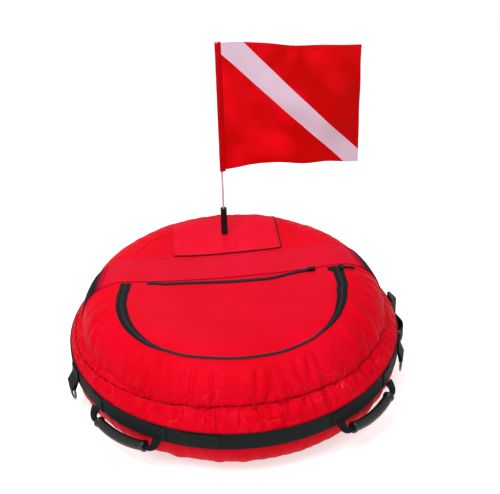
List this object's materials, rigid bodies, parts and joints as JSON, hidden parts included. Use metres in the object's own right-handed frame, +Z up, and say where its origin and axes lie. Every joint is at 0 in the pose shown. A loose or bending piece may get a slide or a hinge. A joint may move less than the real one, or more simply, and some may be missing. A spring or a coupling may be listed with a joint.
{
  "type": "freediving buoy with dive flag",
  "caption": "Round inflatable freediving buoy in a red fabric cover, with a storage well under a zipped flap, webbing belt, rubber grips, rings and a dive flag on a rod.",
  "frame": {"origin": "on the floor, under the centre of the round cover", "axes": "+Z up; the zipped flap is on the -Y side and the flag rod on the +Y side; +X to the right"},
  "size_m": [0.7681, 0.749, 0.74],
  "materials": {
    "cover": "bright red coated nylon, satin",
    "flap": "bright red coated nylon, satin",
    "band": "pinkish red coated nylon, satin",
    "mesh": "black open mesh",
    "webbing": "black woven webbing",
    "zip_tape": "black zip tape with nylon coil",
    "zip_slider": "black slider",
    "grip": "black ribbed rubber",
    "buckle": "black acetal",
    "socket": "black rubber tube",
    "rod": "white glass fibre rod",
    "flag_red": "red nylon",
    "flag_white": "white nylon",
    "ring": "black moulded ring",
    "steel": "welded stainless ring",
    "floor_mesh": "black drain mesh"
  },
  "bodies": {
    "root": {"cover_base": "cover", "cover_side": "cover", "cover_crown": "cover", "top_deck": "cover", "flap_zip_outer": "zip_tape", "flap_slider": "zip_slider", "cross_band": "band", "mesh_panel_left": "mesh", "mesh_panel_right": "mesh", "flag_patch": "cover", "patch_trim": "webbing", "flag_socket": "socket", "belt": "webbing", "belt_overlap": "webbing", "belt_tail": "webbing", "belt_buckle": "buckle", "handle_anchors": "webbing", "ring_tab_left": "webbing", "ring_tab_right": "webbing", "well_floor": "floor_mesh", "line_ring": "steel", "base_straps": "webbing"},
    "flap": {"flap": "flap", "flap_zip_inner": "zip_tape", "pocket_zip": "zip_tape", "pocket_slider": "zip_slider"},
    "mast": {"flag_rod": "rod"},
    "flag": {"flag_cloth": "flag_red", "flag_stripe": "flag_white"},
    "ring_left": {"d_ring_left": "ring"},
    "ring_right": {"d_ring_right": "ring"},
    "handle_front_left": {"handle_strap_front_left": "webbing", "handle_grip_front_left": "grip"},
    "handle_front_right": {"handle_strap_front_right": "webbing", "handle_grip_front_right": "grip"},
    "handle_rear_right": {"handle_strap_rear_right": "webbing", "handle_grip_rear_right": "grip"},
    "handle_rear_left": {"handle_strap_rear_left": "webbing", "handle_grip_rear_left": "grip"}
  },
  "joints": [
    {"name": "flap_hinge", "type": "hinge", "parent": "root", "child": "flap", "pos_m": [0, 0.015, 0.26], "axis": [-1, 0, 0], "range_deg": [0, 110]},
    {"name": "mast_lift", "type": "slide", "parent": "root", "child": "mast", "axis": [0, 0, 1], "range_m": [0, 0.07]},
    {"name": "flag_turn", "type": "hinge", "parent": "mast", "child": "flag", "pos_m": [0, 0.186, 0.6], "axis": [0, 0, 1], "continuous": true},
    {"name": "handle_front_left_lift", "type": "hinge", "parent": "root", "child": "handle_front_left", "pos_m": [-0.25621, -0.26999, 0.096], "axis": [-0.7254, 0.6884, 0], "range_deg": [0, 96]},
    {"name": "handle_front_right_lift", "type": "hinge", "parent": "root", "child": "handle_front_right", "pos_m": [0.2505, -0.2753, 0.096], "axis": [-0.7396, -0.673, 0], "range_deg": [0, 96]},
    {"name": "handle_rear_right_lift", "type": "hinge", "parent": "root", "child": "handle_rear_right", "pos_m": [0.2505, 0.2753, 0.096], "axis": [0.7396, -0.673, 0], "range_deg": [0, 96]},
    {"name": "handle_rear_left_lift", "type": "hinge", "parent": "root", "child": "handle_rear_left", "pos_m": [-0.25621, 0.26999, 0.096], "axis": [0.7254, 0.6884, 0], "range_deg": [0, 96]},
    {"name": "ring_left_swing", "type": "hinge", "parent": "root", "child": "ring_left", "pos_m": [-0.3725, -0.11034, 0.084], "axis": [-0.284, 0.9588, 0], "range_deg": [0, 150]},
    {"name": "ring_right_swing", "type": "hinge", "parent": "root", "child": "ring_right", "pos_m": [0.36575, -0.11532, 0.084], "axis": [-0.3007, -0.9537, 0], "range_deg": [0, 150]}
  ]
}
